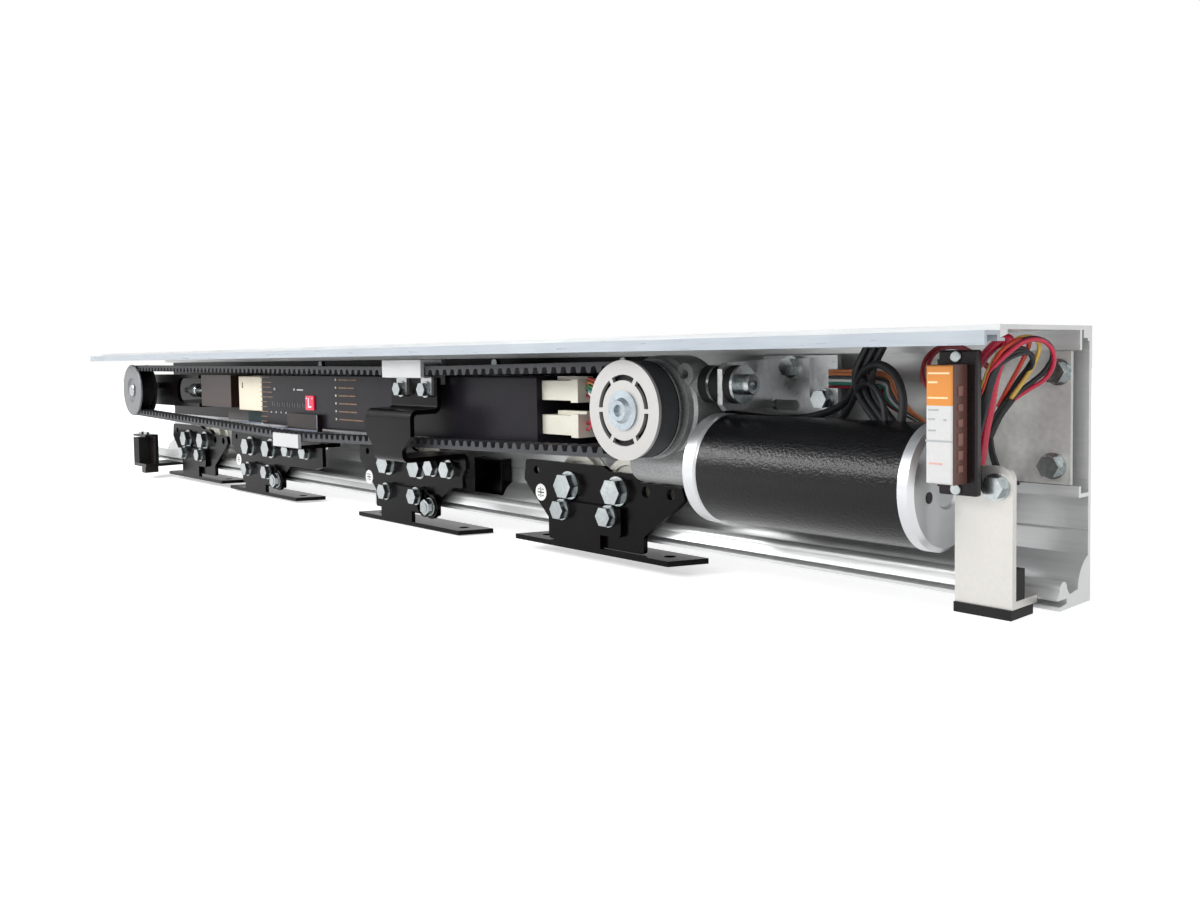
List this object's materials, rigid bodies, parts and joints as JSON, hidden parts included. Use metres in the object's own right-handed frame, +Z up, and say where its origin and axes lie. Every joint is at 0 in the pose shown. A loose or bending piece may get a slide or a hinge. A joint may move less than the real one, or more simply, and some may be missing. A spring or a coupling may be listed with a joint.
{
  "type": "sliding door operator",
  "caption": "Automatic sliding door operator on an aluminium header beam with gear motor, toothed belt, control unit and roller hangers for two leaves",
  "frame": {"origin": "centre of the flat wall face of the header beam", "axes": "X along the beam with the motor at +X, Y out of the wall face into the wall so the mechanism faces -Y, Z up"},
  "size_m": [0.99, 0.087, 0.1265],
  "materials": {
    "anodised": "satin anodised extrusion",
    "cover_white": "pale painted extrusion",
    "zinc": "zinc-plated sheet",
    "black_steel": "satin black powder coat",
    "steel_bolt": "bright zinc",
    "black_plastic": "moulded black",
    "cream_plastic": "moulded cream",
    "white_plastic": "moulded white",
    "red_display": "lit red window",
    "cast": "dark cast metal",
    "motor_black": "wrinkle black",
    "motor_alu": "machined",
    "rubber": "soft black",
    "belt": "dark grey",
    "pulley_grey": "moulded grey",
    "roller": "nylon",
    "clamp_grey": "light grey",
    "label": "white and orange print",
    "wire": "insulated wire"
  },
  "bodies": {
    "header": {"header_beam": "anodised", "cover_rail": "cover_white", "mounting_strip": "black_steel", "end_plate": "zinc", "slotted_plate": "zinc", "motor_bracket": "zinc", "gearbox_housing": "cast", "motor_front_ring": "motor_alu", "motor_body": "motor_black", "motor_rear_cap": "motor_alu", "mount_rubbers": "rubber", "mount_screw": "steel_bolt", "control_unit": "black_plastic", "control_panel": "black_plastic", "status_display": "red_display", "plug_module": "cream_plastic", "cable_plugs": "white_plastic", "terminal_foot": "black_plastic", "terminal_block": "label", "idler_bracket": "black_steel", "idler_block": "black_steel", "tension_screw": "steel_bolt", "idler_axle": "steel_bolt", "toothed_belt": "belt", "right_stop": "black_steel", "left_stop": "black_steel", "stop_rubbers": "rubber", "strip_screws": "steel_bolt", "fixed_bolts": "steel_bolt", "motor_cables": "wire", "terminal_wires": "wire"},
    "drive_pulley_set": {"drive_pulley": "pulley_grey", "output_shaft": "steel_bolt"},
    "idler": {"idler_pulley": "pulley_grey"},
    "left_outer_left_roller_body": {"left_outer_left_roller": "roller"},
    "left_outer_right_roller_body": {"left_outer_right_roller": "roller"},
    "left_inner_left_roller_body": {"left_inner_left_roller": "roller"},
    "left_inner_right_roller_body": {"left_inner_right_roller": "roller"},
    "right_inner_left_roller_body": {"right_inner_left_roller": "roller"},
    "right_inner_right_roller_body": {"right_inner_right_roller": "roller"},
    "right_outer_left_roller_body": {"right_outer_left_roller": "roller"},
    "right_outer_right_roller_body": {"right_outer_right_roller": "roller"},
    "left_leaf": {"left_leaf_axles": "steel_bolt", "left_leaf_bolts": "steel_bolt", "left_clamp_arm": "black_steel", "lower_belt_clamp": "zinc", "lower_clamp_cover": "clamp_grey", "left_outer_plate": "black_steel", "left_outer_foot": "black_steel", "left_inner_plate": "black_steel", "left_inner_foot": "black_steel"},
    "right_leaf": {"right_leaf_axles": "steel_bolt", "right_leaf_bolts": "steel_bolt", "right_clamp_bracket": "black_steel", "upper_belt_clamp": "zinc", "upper_clamp_cover": "clamp_grey", "right_inner_plate": "black_steel", "right_inner_foot": "black_steel", "right_outer_plate": "black_steel", "right_outer_foot": "black_steel"}
  },
  "joints": [
    {"name": "right_leaf_slide", "type": "slide", "parent": "header", "child": "right_leaf", "axis": [1, 0, 0], "range_m": [-0.02, 0.01], "deforming": ["toothed_belt"]},
    {"name": "left_leaf_slide", "type": "slide", "parent": "header", "child": "left_leaf", "axis": [1, 0, 0], "range_m": [-0.01, 0.02]},
    {"name": "drive_pulley_turn", "type": "hinge", "parent": "header", "child": "drive_pulley_set", "pos_m": [0.2975, -0.066, 0.0195], "axis": [0, 1, 0], "continuous": true},
    {"name": "idler_turn", "type": "hinge", "parent": "header", "child": "idler", "pos_m": [-0.4105, -0.066, 0.0195], "axis": [0, 1, 0], "continuous": true},
    {"name": "left_outer_left_roller_turn", "type": "hinge", "parent": "left_leaf", "child": "left_outer_left_roller_body", "pos_m": [-0.3675, -0.0242, -0.0285], "axis": [0, 1, 0], "continuous": true},
    {"name": "left_outer_right_roller_turn", "type": "hinge", "parent": "left_leaf", "child": "left_outer_right_roller_body", "pos_m": [-0.3265, -0.0242, -0.0285], "axis": [0, 1, 0], "continuous": true},
    {"name": "left_inner_left_roller_turn", "type": "hinge", "parent": "left_leaf", "child": "left_inner_left_roller_body", "pos_m": [-0.2245, -0.0242, -0.0285], "axis": [0, 1, 0], "continuous": true},
    {"name": "left_inner_right_roller_turn", "type": "hinge", "parent": "left_leaf", "child": "left_inner_right_roller_body", "pos_m": [-0.1835, -0.0242, -0.0285], "axis": [0, 1, 0], "continuous": true},
    {"name": "right_inner_left_roller_turn", "type": "hinge", "parent": "right_leaf", "child": "right_inner_left_roller_body", "pos_m": [0.0095, -0.0242, -0.0285], "axis": [0, 1, 0], "continuous": true},
    {"name": "right_inner_right_roller_turn", "type": "hinge", "parent": "right_leaf", "child": "right_inner_right_roller_body", "pos_m": [0.0505, -0.0242, -0.0285], "axis": [0, 1, 0], "continuous": true},
    {"name": "right_outer_left_roller_turn", "type": "hinge", "parent": "right_leaf", "child": "right_outer_left_roller_body", "pos_m": [0.2105, -0.0242, -0.0285], "axis": [0, 1, 0], "continuous": true},
    {"name": "right_outer_right_roller_turn", "type": "hinge", "parent": "right_leaf", "child": "right_outer_right_roller_body", "pos_m": [0.2515, -0.0242, -0.0285], "axis": [0, 1, 0], "continuous": true}
  ],
  "couplings": [
    {"joint": "left_leaf_slide", "follows": "right_leaf_slide", "ratio": -1},
    {"joint": "drive_pulley_turn", "follows": "right_leaf_slide", "rad_per_m": 43.633},
    {"joint": "idler_turn", "follows": "right_leaf_slide", "rad_per_m": 43.633},
    {"joint": "left_outer_left_roller_turn", "follows": "right_leaf_slide", "rad_per_m": -62.5},
    {"joint": "left_outer_right_roller_turn", "follows": "right_leaf_slide", "rad_per_m": -62.5},
    {"joint": "left_inner_left_roller_turn", "follows": "right_leaf_slide", "rad_per_m": -62.5},
    {"joint": "left_inner_right_roller_turn", "follows": "right_leaf_slide", "rad_per_m": -62.5},
    {"joint": "right_inner_left_roller_turn", "follows": "right_leaf_slide", "rad_per_m": 62.5},
    {"joint": "right_inner_right_roller_turn", "follows": "right_leaf_slide", "rad_per_m": 62.5},
    {"joint": "right_outer_left_roller_turn", "follows": "right_leaf_slide", "rad_per_m": 62.5},
    {"joint": "right_outer_right_roller_turn", "follows": "right_leaf_slide", "rad_per_m": 62.5}
  ]
}
